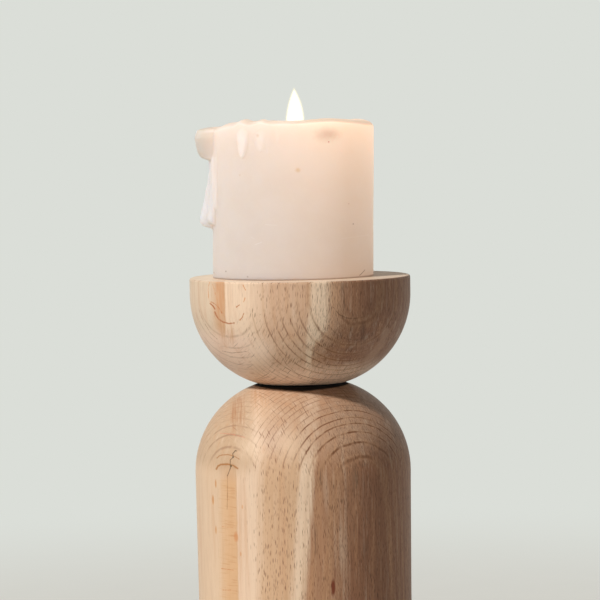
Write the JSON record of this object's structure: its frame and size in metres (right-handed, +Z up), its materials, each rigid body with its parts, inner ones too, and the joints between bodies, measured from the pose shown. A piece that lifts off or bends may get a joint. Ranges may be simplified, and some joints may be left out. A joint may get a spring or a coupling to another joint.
{
  "type": "pricket candle stand",
  "caption": "Turned wooden candle stand: a half-round bowl with a flat top and a spike, on a domed cylinder, with a partly burned pillar candle that lifts off.",
  "frame": {"origin": "middle of the felt foot's underside, on the stand's axis", "axes": "+Z up along the stand's axis, -Y towards the side that the picture shows, -X towards the spilled wax"},
  "size_m": [0.0964, 0.0964, 0.266],
  "materials": {
    "beech": "satin oiled beech, turned",
    "insert_brass": "machined",
    "washer_rubber": "matt black",
    "steel": "turned and polished",
    "felt": "pressed wool felt",
    "wax": "off-white candle wax, satin, translucent",
    "wick": "braided cotton, charred at its end"
  },
  "bodies": {
    "stand": {"felt_foot": "felt", "turned_body": "beech", "body_nut": "insert_brass", "joint_washer": "washer_rubber", "joining_stud": "steel", "candle_bowl": "beech", "bowl_nut": "insert_brass", "spike_nut": "insert_brass", "pricket_spike": "steel"},
    "candle": {"candle_wax": "wax", "candle_wick": "wick"}
  },
  "joints": [
    {"name": "candle_lift", "type": "slide", "parent": "stand", "child": "candle", "axis": [0, 0, 1], "range_m": [0, 0.035]}
  ]
}
